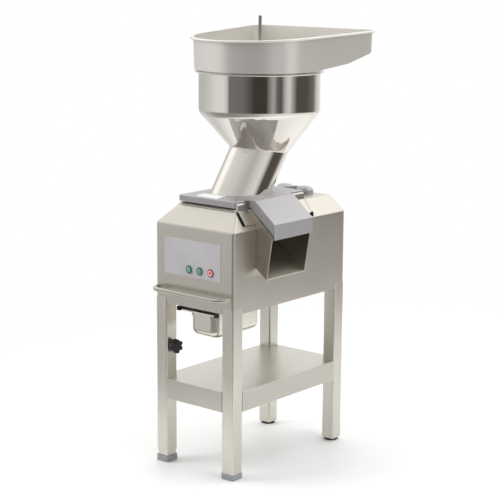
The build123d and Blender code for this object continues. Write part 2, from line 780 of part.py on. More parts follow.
def tray():
    """Feed tray with sloping floor, rolled rim and the collar that drops into the hopper."""
    shell = tray_solid(0, 0, -tray_bead / 2) + tray_roll()
    shell -= tray_solid(-tray_sheet, tray_sheet, 25)
    collar = hopper_radius - hopper_sheet - collar_gap
    shell -= post(collar - tray_sheet, 0, hopper_y, hopper_rim - 100, tray_rim_rear + 75)
    band = ring(collar, collar - tray_sheet, 0, hopper_y, hopper_rim - collar_depth, tray_rim_front)
    floor_line = tray_floor_line(tray_sheet / 2)
    low = hopper_rim - 100
    below = floor_line + [(floor_line[-1][0], low), (floor_line[0][0], low)]
    band = band & along_x(below, -2 * tray_radius, 2 * tray_radius)
    seat = ring(hopper_rim_radius - 8, collar - 0.5, 0, hopper_y, hopper_rim + 0.2, hopper_rim + 1.7)
    return {"tray": shell + band + seat}


def agitator():
    """Crossbar with its bush across the cone, and the stirring rod that turns in it."""
    reach = cone_radius(spider_height - 3, hopper_sheet) - running_gap
    bar = box(-reach, reach, hopper_y - spider_bar / 2, hopper_y + spider_bar / 2,
              spider_height - 3, spider_height + 3)
    bar = bar & post(reach, 0, hopper_y, spider_height - 5, spider_height + 5)
    bush = post(rod_diameter, 0, hopper_y, spider_height - 12, spider_height + 12)
    bore = post(rod_diameter / 2 + hinge_clearance, 0, hopper_y, spider_height - 50, spider_height + 50)
    spider = bar + bush - bore
    rod = post(rod_diameter / 2, 0, hopper_y, spider_height - 16, rod_top)
    rod = chamfer(rod.faces().sort_by(Axis.Z)[-1].edges(), 1.0)
    stop = ring(rod_diameter, rod_diameter / 2 - 0.5, 0, hopper_y, spider_height + 12.3,
                spider_height + 20)
    low = spider_height + 30
    out = cone_radius(low) - 22
    high = hopper_shoulder - 10
    far = cone_radius(high) - 22
    path = FilletPolyline((0, hopper_y, low), (out, hopper_y, low), (far, hopper_y, high),
                          radius=18)
    start = Plane(origin=(0, hopper_y, low), z_dir=(1, 0, 0))
    arm = sweep(start * Circle(arm_diameter / 2), path)
    return {"rod_support": spider, "agitator_rod": rod + stop + arm}


def cone_radius(z, inset=0.0):
    """Radius of the hopper's cone at height z, in the plane across the tube's lean."""
    bend = hopper_shoulder_round - inset
    top_radius = hopper_radius - hopper_shoulder_round + bend * math.cos(cone_lean)
    top = hopper_shoulder - bend * math.sin(cone_lean)
    foot = tube_radius - inset
    return foot + (z - mitre_height) * (top_radius - foot) / (top - mitre_height)


def hinge():
    """Two domed lugs on the casing with the pin that carries the feed head."""
    lugs = []
    for side in (-1, 1):
        x = hinge_x + side * (arm_width + lug_width) / 2
        block = box(x - lug_width / 2, x + lug_width / 2, hinge_y - lug_length / 2,
                    hinge_y + lug_length / 2, casing_top, casing_top + lug_rise)
        block = fillet(block.edges().filter_by(Axis.Z), 18.0)
        block = fillet(block.faces().sort_by(Axis.Z)[-1].edges(), 17.0)
        block -= bar_x(hinge_pin / 2 + 0.02, x - lug_width / 2 - 1 + (8 if side < 0 else 0),
                       x + lug_width / 2 + 1 - (8 if side > 0 else 0), hinge_y, hinge_z)
        lugs.append(block)
    reach = arm_width / 2 + lug_width - 8
    pin = bar_x(hinge_pin / 2, hinge_x - reach + 0.3, hinge_x + reach - 0.3, hinge_y, hinge_z)
    return {"hinge_lugs": Compound(lugs), "hinge_pin": pin}


bearing_places = (drive_plate_height + 14, bowl_floor - bowl_wall - 8 - bearing_width)


def spindle():
    """Bearing housing, bearings, stepped spindle and its pulley."""
    foot = drive_plate_height
    top = bowl_floor - bowl_wall
    bore = bearing_outer / 2
    low, high = bearing_places
    housing = turned([
        (spindle_diameter / 2 + 4, foot), (housing_foot, foot), (housing_foot, foot + 8),
        (housing_radius, foot + 14), (housing_radius, top - 8), (housing_radius + 6, top),
        (bore, top), (bore, high), (bore - 5, high), (bore - 5, low + bearing_width),
        (bore, low + bearing_width), (bore, low), (spindle_diameter / 2 + 4, low),
    ], 0, bowl_y)
    made = {"bearing_housing": housing}
    radius = spindle_diameter / 2
    made["spindle_bearings"] = Compound([bearing(radius, bore, 0, bowl_y, z) for z in (low, high)])
    seal = turned([
        (radius + shaft_clearance, high + bearing_width), (bore - 0.05, high + bearing_width),
        (bore - 0.05, top), (housing_nose - 4, top), (housing_nose - 4, bowl_floor + 1),
        (radius + shaft_clearance, bowl_floor + 1),
    ], 0, bowl_y)
    made["shaft_seal"] = seal
    nose = nose_diameter / 2
    end = slicer_height + slicer_thickness + nut_height - 3
    shaft = post(radius, 0, bowl_y, foot - 2, ejector_height - 1)
    shaft += post(nose, 0, bowl_y, pulley_height - 6, foot)
    shaft += post(nose, 0, bowl_y, ejector_height - 2, end)
    made["drive_shaft"] = chamfer(shaft.faces().sort_by(Axis.Z)[-1].edges(), 1.5)
    made["spindle_pulley"] = pulley(large_pulley, nose, 0, bowl_y)
    made["motor_pulley"] = pulley(small_pulley, motor_shaft, 0, motor_y)
    return made


def bearing(bore, outer, x, y, z):
    """Shielded ball bearing as one ring with its shield grooves."""
    middle = (bore + outer) / 2
    half = (outer - bore) / 5
    return turned([
        (bore + shaft_clearance, z), (middle - half, z), (middle - half, z + 1),
        (middle + half, z + 1), (middle + half, z), (outer - 0.02, z),
        (outer - 0.02, z + bearing_width), (middle + half, z + bearing_width),
        (middle + half, z + bearing_width - 1), (middle - half, z + bearing_width - 1),
        (middle - half, z + bearing_width), (bore + shaft_clearance, z + bearing_width),
    ], x, y)


def pulley(radius, bore, x, y):
    """Flat-belt pulley with rims, a thin web and a hub."""
    z0, z1 = pulley_height, pulley_height + pulley_width
    rim = 3.0
    if radius < 40:
        body = turned([
            (bore, z0), (radius + rim, z0), (radius + rim, z0 + 2), (radius, z0 + 2),
            (radius, z1 - 2), (radius + rim, z1 - 2), (radius + rim, z1), (bore, z1),
        ], x, y)
        return body
    web = (z0 + z1) / 2
    body = turned([
        (bore, z0 - 2), (bore + 12, z0 - 2), (bore + 12, web - 3), (radius - 8, web - 3),
        (radius - 8, z0), (radius + rim, z0), (radius + rim, z0 + 2), (radius, z0 + 2),
        (radius, z1 - 2), (radius + rim, z1 - 2), (radius + rim, z1), (radius - 8, z1),
        (radius - 8, web + 3), (bore + 12, web + 3), (bore + 12, z1), (bore, z1),
    ], x, y)
    for hole in PolarLocations(radius * 0.55, 6):
        body -= Pos(x, y, 0) * hole * Pos(0, 0, web) * Cylinder(13, 20)
    return body


def belt_outline(grow):
    """Plan of an open belt round both pulleys."""
    r1, r2 = large_pulley + grow, small_pulley + grow
    span = motor_y - bowl_y
    lean = math.asin((r1 - r2) / span)
    c, s = math.cos(lean), math.sin(lean)
    a, b = (r1 * c, r1 * s), (r2 * c, span + r2 * s)
    lines = [Line(a, b), Line((-b[0], b[1]), (-a[0], a[1]))]
    arcs = [ThreePointArc(b, (0, span + r2), (-b[0], b[1])),
            ThreePointArc((-a[0], a[1]), (0, -r1), a)]
    edges = [lines[0].edge(), arcs[0].edge(), lines[1].edge(), arcs[1].edge()]
    return Pos(0, bowl_y, 0) * make_face(Wire(edges))


def drive_frame():
    """Plate that carries spindle and motor, its posts, and the belt below it."""
    z1 = drive_plate_height
    z0 = z1 - drive_plate_thickness
    plate = Pos(0, (bowl_y + motor_y) / 2 + 4, z0) * extrude(
        RectangleRounded(190, motor_y - bowl_y + 180, 12), drive_plate_thickness)
    plate -= post(nose_diameter / 2 + 3, 0, bowl_y, z0 - 1, z1 + 1)
    plate -= post(motor_shaft + 3, 0, motor_y, z0 - 1, z1 + 1)
    posts = []
    y0, y1 = bowl_y - 74, motor_y + 82
    for x in (-82, 82):
        for y in (y0, y1):
            posts.append(post(9, x, y, plate_top, z0))
    grow = running_gap
    belt = belt_outline(grow + belt_thickness) - belt_outline(grow)
    belt = Pos(0, 0, pulley_height + 2.5) * extrude(belt, pulley_width - 5)
    return {"drive_plate": plate, "drive_plate_posts": Compound(posts), "drive_belt": belt}


def discs():
    """Ejector disc with paddles, slicing disc with blades, and the nut that holds them."""
    bore = nose_diameter / 2
    z0 = ejector_height
    hub = 22.0
    plate = ring(disc_radius, bore, 0, bowl_y, z0, z0 + ejector_plate)
    plate += ring(hub, bore, 0, bowl_y, z0, slicer_height)
    paddle = Plane.XY * make_face(Polyline((0, 0), (disc_radius - hub, -14), (disc_radius - hub, -8),
                                           (0, 8), close=True))
    for spot in PolarLocations(hub - 2, 3):
        body = extrude(paddle, paddle_height)
        plate += Pos(0, bowl_y, z0 + ejector_plate) * spot * body & post(
            disc_radius, 0, bowl_y, z0, z0 + 60)
    z1 = slicer_height
    z2 = z1 + slicer_thickness
    disc = ring(disc_radius, bore, 0, bowl_y, z1, z2)
    disc += ring(disc_radius, disc_radius - 3, 0, bowl_y, z1 - 6, z2)
    blades = []
    for index in range(blade_count):
        turn = Pos(0, bowl_y, 0) * Rot(0, 0, 360 / blade_count * index)
        slot = turn * box(24, disc_radius - 8, -9, 3, z1 - 8, z2 + 8)
        disc -= slot
        edge = along_x([(3.5, z2 + 1.2), (14.0, z2 + 0.2), (14.0, z2), (3.5, z2)],
                       22, disc_radius - 7)
        wedge = along_x([(-6.0, z2 + 3.0), (3.5, z2 + 1.2), (3.5, z2), (-6.0, z2 + 2.2)],
                        25, disc_radius - 9)
        blades.append(turn * (edge + wedge))
    rise = z2
    nut = turned([
        (bore, rise), (nut_diameter / 2, rise), (nut_diameter / 2, rise + nut_height - 6),
        (nut_diameter / 2 - 6, rise + nut_height), (0, rise + nut_height),
        (0, rise + nut_height - 3), (bore, rise + nut_height - 3),
    ], 0, bowl_y)
    return {"ejector_disc": plate, "slicing_disc": disc, "slicing_blades": Compound(blades),
            "disc_nut": nut}


def motor():
    """Upright motor on the drive plate: finned housing, shields, bearings, stator, rotor, fan."""
    z0 = drive_plate_height
    z3 = motor_top
    low, high = z0 + shield_height, z3 - 50
    shell = ring(motor_radius, motor_radius - motor_wall, 0, motor_y, low, high)
    for spot in PolarLocations(motor_radius - 1 + fin_height / 2, fin_count):
        shell += Pos(0, motor_y, (low + high) / 2) * spot * Box(fin_height + 2, 3, high - low)
    bore = bearing_outer / 2
    inner = motor_radius - motor_wall - 0.05
    bottom = turned([
        (motor_shaft + 1, z0), (motor_radius, z0), (motor_radius, low), (inner, low),
        (inner, low + 4), (inner - 5, low + 4), (inner - 5, z0 + 10), (bore + 6, z0 + 10),
        (bore + 6, z0 + 5 + bearing_width), (bore, z0 + 5 + bearing_width), (bore, z0 + 5),
        (motor_shaft + 1, z0 + 5),
    ], 0, motor_y)
    top = turned([
        (motor_shaft + 1, high + 12), (motor_radius, high + 12), (motor_radius, high),
        (inner, high), (inner, high - 4), (inner - 5, high - 4), (inner - 5, high + 4),
        (bore + 6, high + 4), (bore + 6, high + 7 - bearing_width), (bore, high + 7 - bearing_width),
        (bore, high + 7), (motor_shaft + 1, high + 7),
    ], 0, motor_y)
    stack0, stack1 = low + 30, high - 30
    stator = ring(inner, rotor_radius + 0.8, 0, motor_y, stack0, stack1)
    coil = ring(inner - 8, rotor_radius + 6, 0, motor_y, stack0 - 16, stack1 + 16)
    rotor = post(rotor_radius, 0, motor_y, stack0, stack1)
    rotor += post(motor_shaft, 0, motor_y, pulley_height, z3 - 16)
    fan_z = high + 14
    fan = ring(16, motor_shaft, 0, motor_y, fan_z, fan_z + 16)
    fan += ring(fan_radius, motor_shaft, 0, motor_y, fan_z, fan_z + 2)
    for spot in PolarLocations(0, 8):
        blade = box(14, fan_radius - 1, -1, 1, fan_z + 1, fan_z + 16)
        fan += Pos(0, motor_y, 0) * spot * blade
    cowl = turned([
        (motor_radius + 0.3, high + 12), (motor_radius + 1.8, high + 12), (motor_radius + 1.8, z3),
        (12, z3), (12, z3 - 1.5), (motor_radius + 0.3, z3 - 1.5),
    ], 0, motor_y)
    for spot in PolarLocations(43, 10):
        cowl -= Pos(0, motor_y, z3) * spot * Box(40, 7, 8)
    return {
        "motor_housing": shell, "motor_shield_lower": bottom, "motor_shield_upper": top,
        "motor_stator": stator + coil, "motor_rotor": rotor, "motor_fan": fan,
        "motor_fan_cowl": cowl,
        "motor_bearings": Compound([bearing(motor_shaft, bore, 0, motor_y, z)
                                    for z in (z0 + 5, high + 7 - bearing_width)]),
    }


def electrics():
    """Control gear box on the left wall and the cable gland in the rear wall."""
    wall = -half_width + sheet
    gear = box(wall, wall + 48, 70, 290, 572, 668)
    gear = fillet(gear.edges().filter_by(Axis.X), 4.0)
    gland = bar_y(gland_radius - 0.2, gland_x, casing_length - 14, casing_length + 4, gland_z)
    hexagon = Plane.XZ * RegularPolygon(14, 6)
    gland += Pos(gland_x, casing_length + 6, gland_z) * extrude(hexagon, 6)
    gland += bar_y(11, gland_x, casing_length + 6, casing_length + 16, gland_z)
    gland += Pos(gland_x, casing_length - sheet, gland_z) * extrude(hexagon, 5)
    gland -= bar_y(5, gland_x, casing_length - 20, casing_length + 20, gland_z)
    return {"control_gear_box": gear, "cable_gland": gland}


makers = (legs, feet, clamp, shelf, casing, base_plate, handle, controls, pan_and_runners,
          chamber, chute, surround, lid, feed_tube, hopper, tray, agitator, hinge, spindle,
          drive_frame, discs, motor, electrics)

pieces = {}
for maker in makers:
    pieces.update(maker())

# The origin lies on the floor under the middle of the machine's overall width and length.
whole = Compound([solid for piece in pieces.values() for solid in piece.solids()]).bounding_box()
origin = Pos(-whole.center().X, -whole.center().Y, 0)

os.makedirs("parts", exist_ok=True)
for name, piece in pieces.items():
    export_step(origin * piece, "parts/" + name + ".step")
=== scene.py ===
# %% [markdown]
# # A vegetable cutting machine, dressed for its picture
# The metal body, its joints and every hidden part come from a solid model that is already finished.
# This lesson loads that model as a fixed frame, gives each surface the finish it has on the real
# machine, and adds the small things that solids leave out: a plate, button signs, seals, weld beads
# and screws. One unit is a metre, +Z is up, and the operator stands on the -Y side.

# %% Load the frame
import json
import math

import bmesh
import bpy
from mathutils import Matrix, Vector

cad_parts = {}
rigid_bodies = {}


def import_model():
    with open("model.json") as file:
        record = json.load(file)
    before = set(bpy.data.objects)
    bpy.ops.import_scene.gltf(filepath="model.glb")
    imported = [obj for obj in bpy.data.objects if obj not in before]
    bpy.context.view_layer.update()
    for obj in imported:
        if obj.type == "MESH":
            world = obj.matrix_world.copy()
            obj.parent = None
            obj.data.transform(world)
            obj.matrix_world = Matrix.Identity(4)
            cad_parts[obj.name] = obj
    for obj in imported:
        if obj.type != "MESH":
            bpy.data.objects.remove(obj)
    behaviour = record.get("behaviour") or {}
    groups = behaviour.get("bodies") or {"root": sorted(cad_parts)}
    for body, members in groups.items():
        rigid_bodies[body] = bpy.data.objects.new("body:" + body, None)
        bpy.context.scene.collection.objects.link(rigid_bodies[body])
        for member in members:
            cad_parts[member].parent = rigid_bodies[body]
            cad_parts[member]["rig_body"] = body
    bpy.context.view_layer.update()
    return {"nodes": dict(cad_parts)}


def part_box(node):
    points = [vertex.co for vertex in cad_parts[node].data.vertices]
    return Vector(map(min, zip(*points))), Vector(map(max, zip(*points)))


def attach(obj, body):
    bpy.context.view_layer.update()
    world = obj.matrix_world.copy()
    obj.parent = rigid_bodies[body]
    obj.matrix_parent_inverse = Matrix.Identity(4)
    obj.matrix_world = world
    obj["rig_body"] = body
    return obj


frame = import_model()
bpy.ops.object.select_all(action="DESELECT")
nodes = frame["nodes"]

# %% [markdown]
# The drawing of the machine counts millimetres from the middle of the casing's front face. The
# frame counts metres from the floor under the middle of the machine. One helper turns the first
# into the second, so that the numbers below read as on a drawing.

# %% A helper for places on the machine
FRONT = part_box("casing")[0].y


def at(x, y, z):
    """A place in millimetres from the casing's front, as a point of the frame in metres."""
    return Vector((x / 1000, FRONT + y / 1000, z / 1000))


def body_of(node):
    """The moving body that a node belongs to."""
    return nodes[node]["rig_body"]


print("casing front at y =", round(FRONT, 4))

# %% [markdown]
# The camera comes first, because it decides which details matter. The machine was photographed from
# its right front corner with a long lens, from a little over its own height. A long lens keeps
# uprights nearly parallel; a short one from nearby would make the tray look huge.

# %% Camera
CAMERA_PLACE = (2894.3, -3227.8, 1554.2)
CAMERA_TURN = 39.68
CAMERA_DOWN = 11.29
CAMERA_ROLL = 0.41
LENS = 107.05
SENSOR_WIDTH = 36.0
FAR_END = 200.0
camera_data = bpy.data.cameras.new("camera")
camera_data.lens = LENS
camera_data.sensor_width = SENSOR_WIDTH
camera_data.clip_end = FAR_END
camera = bpy.data.objects.new("camera", camera_data)
bpy.context.scene.collection.objects.link(camera)
turn = Matrix.Rotation(math.radians(CAMERA_TURN), 4, "Z")
tilt = Matrix.Rotation(math.radians(90 - CAMERA_DOWN), 4, "X")
roll = Matrix.Rotation(math.radians(CAMERA_ROLL), 4, "Z")
camera.matrix_world = Matrix.Translation(at(*CAMERA_PLACE)) @ turn @ tilt @ roll
bpy.context.scene.camera = camera
print("camera at", [round(part, 3) for part in camera.location])
bpy.context.scene.view_settings.view_transform = "Standard"

# %% [markdown]
# Polished steel has almost no colour of its own: it shows the room. The room here is a sky of soft
# bands. Low down lies a pale floor, overhead hangs a broad white ceiling, and between them the
# walls change from a bright window side on the left to a dim brown room behind the photographer,
# with two narrow lamps to the right. Three colour ramps run once round the horizon, for the walls,
# the ground and the ceiling, and two more blend them by height.

# %% The room that the steel reflects
world = bpy.data.worlds.new("room")
world.use_nodes = True
bpy.context.scene.world = world
tree = world.node_tree
tree.nodes.clear()


def node(tree, kind, **values):
    """A new node with its properties and unlinked inputs set."""
    made = tree.nodes.new(kind)
    for key, value in values.items():
        if key in made.inputs:
            made.inputs[key].default_value = value
        else:
            setattr(made, key, value)
    return made


def link(tree, source, out, target, into):
    """Joins one node's output to another node's input."""
    tree.links.new(source.outputs[out], target.inputs[into])


def ramp(tree, stops):
    """A colour ramp from (position, grey or colour) pairs."""
    made = node(tree, "ShaderNodeValToRGB")
    stripes = made.color_ramp.elements
    while len(stripes) < len(stops):
        stripes.new(0.5)
    for stripe, (place, colour) in zip(stripes, sorted(stops, key=lambda stop: stop[0])):
        stripe.position = place
        if not hasattr(colour, "__len__"):
            colour = (colour, colour, colour)
        stripe.color = (*colour, 1.0)
    return made


def round_the_horizon(tree, share, stops):
    """A ramp by compass direction in degrees, where 0 is +X and 90 is +Y."""
    made = ramp(tree, [(((degrees + 180) % 360) / 360, colour) for degrees, colour in stops])
    link(tree, share, 0, made, "Fac")
    return made


def map_range(tree, **values):
    """A node that maps one range of numbers to another."""
    made = node(tree, "ShaderNodeMapRange")
    for socket, value in values.items():
        made.inputs[socket.replace("_", " ").title()].default_value = value
    return made


direction = node(tree, "ShaderNodeTexCoord")
parts = node(tree, "ShaderNodeSeparateXYZ")
link(tree, direction, "Generated", parts, 0)
angle = node(tree, "ShaderNodeMath", operation="ARCTAN2")
link(tree, parts, "Y", angle, 0)
link(tree, parts, "X", angle, 1)
share = map_range(tree, from_min=-math.pi, from_max=math.pi)
link(tree, angle, 0, share, "Value")
BROWN = (0.060, 0.050, 0.043)
DIM = (0.10, 0.088, 0.076)
DUSK = (0.20, 0.19, 0.17)
walls = round_the_horizon(tree, share, [
    (-180, 0.62), (-158, 0.72), (-140, 0.86), (-122, 0.86), (-114, 0.70), (-109, 0.20),
    (-82, 0.18), (-66, 0.09), (-60, BROWN), (-38, BROWN), (-31, 0.28), (-24, 0.46), (-17, 0.16),
    (-9, 0.10), (-1, 0.58), (7, 0.80), (15, 0.40), (24, DIM), (50, DIM), (72, DUSK), (86, 0.70),
    (118, 1.0), (148, 0.55), (179, 0.62)])
height = map_range(tree, from_min=-1.0, from_max=1.0)
link(tree, parts, "Z", height, "Value")
above = ramp(tree, [(0.0, 0.0), (0.54, 0.0), (0.70, 1.0)])
below = ramp(tree, [(0.0, 1.0), (0.360, 1.0), (0.394, 0.0)])
ground = round_the_horizon(tree, share, [
    (-180, 0.60), (-150, 0.36), (-110, 0.30), (-60, 0.42), (-20, 0.90), (50, 1.0), (120, 1.0),
    (179, 0.60)])
link(tree, height, 0, above, "Fac")
link(tree, height, 0, below, "Fac")
with_ceiling = node(tree, "ShaderNodeMix", data_type="RGBA")
link(tree, above, 0, with_ceiling, "Factor")
link(tree, walls, 0, with_ceiling, "A")
ceiling = round_the_horizon(tree, share, [
    (-180, 1.35), (-166, 1.25), (-150, 0.85), (-90, 0.75), (-30, 0.55), (10, 0.9), (60, 1.7),
    (130, 1.25), (179, 1.35)])
link(tree, ceiling, 0, with_ceiling, "B")
with_floor = node(tree, "ShaderNodeMix", data_type="RGBA")
link(tree, below, 0, with_floor, "Factor")
link(tree, with_ceiling, "Result", with_floor, "A")
link(tree, ground, 0, with_floor, "B")
print(len(tree.nodes), "nodes make the room")

# %% [markdown]
# Seen directly, the studio behind the machine is a plain pale sheet. The same sheet would flatten
# the reflections, so only rays that start at the camera see it. All others see the room above.

# %% The plain backdrop
room_light = node(tree, "ShaderNodeBackground", Strength=1.0)
backdrop = node(tree, "ShaderNodeBackground", Color=(1, 1, 1, 1), Strength=1.0)
path = node(tree, "ShaderNodeLightPath")
choose = node(tree, "ShaderNodeMixShader")
sky = node(tree, "ShaderNodeOutputWorld")
link(tree, with_floor, "Result", room_light, "Color")
link(tree, path, "Is Camera Ray", choose, 0)
link(tree, room_light, 0, choose, 1)
link(tree, backdrop, 0, choose, 2)
link(tree, choose, 0, sky, "Surface")
print("backdrop joined")

# %% [markdown]
# The floor is a pale disc that fades out at its rim, so that no edge shows. Two large area lamps
# give the soft shadows: a key from the upper left front and a weaker fill from the right.

# %% Floor and lamps
FLOOR_RADIUS = 2.8
FLOOR_GREY = (0.92, 0.92, 0.92, 1)
FLOOR_GLOSS = 0.55
FADE_MIDDLE = (0.45, 0.55, 0)
FADE_START = 1.2
FADE_END = 2.0
bpy.ops.mesh.primitive_circle_add(vertices=96, radius=FLOOR_RADIUS, fill_type="NGON",
                                  location=(0, 0, 0))
floor = bpy.context.object
floor.name = "floor"
pale = bpy.data.materials.new("pale_floor")
pale.use_nodes = True
pale_tree = pale.node_tree
surface = pale_tree.nodes["Principled BSDF"]
surface.inputs["Base Color"].default_value = FLOOR_GREY
surface.inputs["Roughness"].default_value = FLOOR_GLOSS
where = node(pale_tree, "ShaderNodeTexCoord")
away = node(pale_tree, "ShaderNodeVectorMath", operation="LENGTH")
shift = node(pale_tree, "ShaderNodeVectorMath", operation="SUBTRACT")
shift.inputs[1].default_value = FADE_MIDDLE
link(pale_tree, where, "Object", shift, 0)
link(pale_tree, shift, 0, away, 0)
fade = map_range(pale_tree, from_min=FADE_START, from_max=FADE_END, to_min=1.0, to_max=0.0)
fade.interpolation_type = "SMOOTHSTEP"
link(pale_tree, away, "Value", fade, "Value")
link(pale_tree, fade, 0, surface, "Alpha")
floor.data.materials.append(pale)


def lamp(name, place, target, size, power):
    """A square area lamp that faces a point."""
    data = bpy.data.lights.new(name, "AREA")
    data.size = size
    data.energy = power
    made = bpy.data.objects.new(name, data)
    made.location = place
    made.rotation_euler = (Vector(target) - Vector(place)).to_track_quat("-Z", "Y").to_euler()
    made.visible_glossy = False
    bpy.context.scene.collection.objects.link(made)
    return made


BODY_MIDDLE = (0, 0, 0.7)
lamp("key", (-2.4, -2.2, 3.2), BODY_MIDDLE, 2.2, 60)
lamp("fill", (2.8, 0.4, 2.6), BODY_MIDDLE, 2.0, 30)
print("floor and two lamps are in place")

# %% [markdown]
# ## Metal finishes
# Sheet steel is brushed: thousands of fine scratches run one way. Each scratch changes the
# roughness a little and tilts the surface a little. A noise texture squeezed along one axis gives
# both. A second, large and faint noise stands for handling marks, because no used sheet is even all
# over. Edges get a painted highlight: a bevel node finds them by how far it turns the normal, and
# there the base colour is lightened towards a pale grey, as if the rounded edges caught the light.

# %% A brushed or polished metal
# Painted highlight along edges: its radius, how strongly it lightens the colour, and its pale
# colour.
EDGE_HIGHLIGHT_RADIUS = 0.0022
EDGE_HIGHLIGHT_STRENGTH = 0.55
EDGE_HIGHLIGHT_COLOUR = (0.95, 0.95, 0.94, 1)


def srgb(r, g, b):
    """A colour picked on screen, 0 to 255, as the linear values that shaders use."""
    def linear(value):
        value /= 255
        return value / 12.92 if value <= 0.04045 else ((value + 0.055) / 1.055) ** 2.4
    return (linear(r), linear(g), linear(b), 1.0)


def shades(tree, texture, colour, dark, light):
    """A colour that a texture varies between a darker and a lighter shade of itself."""
    made = node(tree, "ShaderNodeMix", data_type="RGBA")
    link(tree, texture, "Fac", made, "Factor")
    base = srgb(*colour)[:3]
    made.inputs["A"].default_value = (*[part * dark for part in base], 1)
    made.inputs["B"].default_value = (*[min(1.0, part * light) for part in base], 1)
    return made


def metal(name, colour, rough, grain, scratch, bump, cloud=0.06, pure=1.0):
    """Steel or aluminium: grain stretches the scratches, cloud is the strength of dull patches."""
    made = bpy.data.materials.new(name)
    made.use_nodes = True
    tree = made.node_tree
    surface = tree.nodes["Principled BSDF"]
    surface.inputs["Metallic"].default_value = pure
    where = node(tree, "ShaderNodeTexCoord")
    squeeze = node(tree, "ShaderNodeMapping")
    squeeze.inputs["Scale"].default_value = grain
    link(tree, where, "Object", squeeze, "Vector")
    scratches = node(tree, "ShaderNodeTexNoise", Scale=1.0, Detail=3.0, Roughness=0.6)
    link(tree, squeeze, 0, scratches, "Vector")
    patches = node(tree, "ShaderNodeTexNoise", Scale=7.0, Detail=3.0, Roughness=0.55)
    link(tree, where, "Object", patches, "Vector")
    gloss = map_range(tree, from_min=0.3, from_max=0.7, to_min=rough - scratch,
                      to_max=rough + scratch)
    link(tree, scratches, "Fac", gloss, "Value")
    dull = node(tree, "ShaderNodeMath", operation="MULTIPLY_ADD")
    dull.inputs[1].default_value = cloud
    link(tree, patches, "Fac", dull, 0)
    link(tree, gloss, 0, dull, 2)
    link(tree, dull, 0, surface, "Roughness")
    tint = shades(tree, patches, colour, 0.94, 1.05)
    # Painted highlight: where the bevel normal turns away from the surface's, the base colour is
    # lightened towards pale grey.
    edge = node(tree, "ShaderNodeBevel", Radius=EDGE_HIGHLIGHT_RADIUS)
    edge.samples = 6
    flat = node(tree, "ShaderNodeNewGeometry")
    straight = node(tree, "ShaderNodeVectorMath", operation="DOT_PRODUCT")
    link(tree, edge, 0, straight, 0)
    link(tree, flat, "Normal", straight, 1)
    edge_highlight = map_range(tree, from_min=0.99, from_max=0.80, to_max=EDGE_HIGHLIGHT_STRENGTH)
    link(tree, straight, "Value", edge_highlight, "Value")
    bright = node(tree, "ShaderNodeMix", data_type="RGBA")
    bright.inputs["B"].default_value = EDGE_HIGHLIGHT_COLOUR
    link(tree, edge_highlight, 0, bright, "Factor")
    link(tree, tint, "Result", bright, "A")
    link(tree, bright, "Result", surface, "Base Color")
    relief = node(tree, "ShaderNodeBump", Strength=bump, Distance=0.001)
    link(tree, scratches, "Fac", relief, "Height")
    link(tree, relief, 0, surface, "Normal")
    return made


ALONG_Z = (420, 420, 6)
ALONG_Y = (420, 6, 420)
ALONG_X = (6, 420, 420)
finish = {
    "leg": metal("leg_steel", (214, 210, 200), 0.30, ALONG_Z, 0.07, 0.05),
    "shelf": metal("shelf_steel", (200, 196, 187), 0.32, ALONG_Y, 0.07, 0.05),
    "casing": metal("casing_steel", (208, 203, 193), 0.33, ALONG_Z, 0.06, 0.05),
    "surround": metal("surround_steel", (220, 216, 208), 0.26, ALONG_Y, 0.05, 0.03),
    "chute": metal("chute_steel", (196, 190, 176), 0.30, ALONG_X, 0.06, 0.04),
    "tube": metal("polished_steel", (226, 222, 214), 0.05, (60, 60, 60), 0.015, 0.004, 0.03),
    "tray": metal("tray_steel", (236, 233, 226), 0.28, (300, 300, 9), 0.010, 0.0, 0.05, 0.6),
    "handle": metal("handle_steel", (190, 186, 176), 0.22, ALONG_X, 0.05, 0.02),
    "pan": metal("pressed_steel", (228, 224, 214), 0.20, (90, 90, 90), 0.04, 0.01, 0.05),
    "cast": metal("cast_aluminium", (186, 184, 185), 0.44, (900, 900, 900), 0.04, 0.08, 0.05, 0.7),
    "machined": metal("machined_steel", (200, 200, 200), 0.25, (300, 300, 40), 0.05, 0.03),
    "iron": metal("cast_iron", (120, 120, 122), 0.55, (500, 500, 500), 0.06, 0.20),
}
print(len(finish), "metals")

# %% [markdown]
# Plastic, rubber and paint aren't metal: they have a colour, a soft sheen and a fine moulded
# grain. Print is the same, only flatter.

# %% Plastics, rubber and paint


def plastic(name, colour, rough=0.45, grain=900.0, bump=0.06, coat=0.0):
    """Moulded or painted surface with a fine grain and slightly uneven gloss."""
    made = bpy.data.materials.new(name)
    made.use_nodes = True
    tree = made.node_tree
    surface = tree.nodes["Principled BSDF"]
    surface.inputs["Coat Weight"].default_value = coat
    where = node(tree, "ShaderNodeTexCoord")
    fine = node(tree, "ShaderNodeTexNoise", Scale=grain, Detail=2.0)
    wide = node(tree, "ShaderNodeTexNoise", Scale=16.0, Detail=3.0)
    for texture in (fine, wide):
        link(tree, where, "Object", texture, "Vector")
    shade = shades(tree, wide, colour, 0.88, 1.10)
    link(tree, shade, "Result", surface, "Base Color")
    gloss = map_range(tree, to_min=rough - 0.06, to_max=rough + 0.08)
    link(tree, wide, "Fac", gloss, "Value")
    link(tree, gloss, 0, surface, "Roughness")
    relief = node(tree, "ShaderNodeBump", Strength=bump, Distance=0.0005)
    link(tree, fine, "Fac", relief, "Height")
    link(tree, relief, 0, surface, "Normal")
    return made


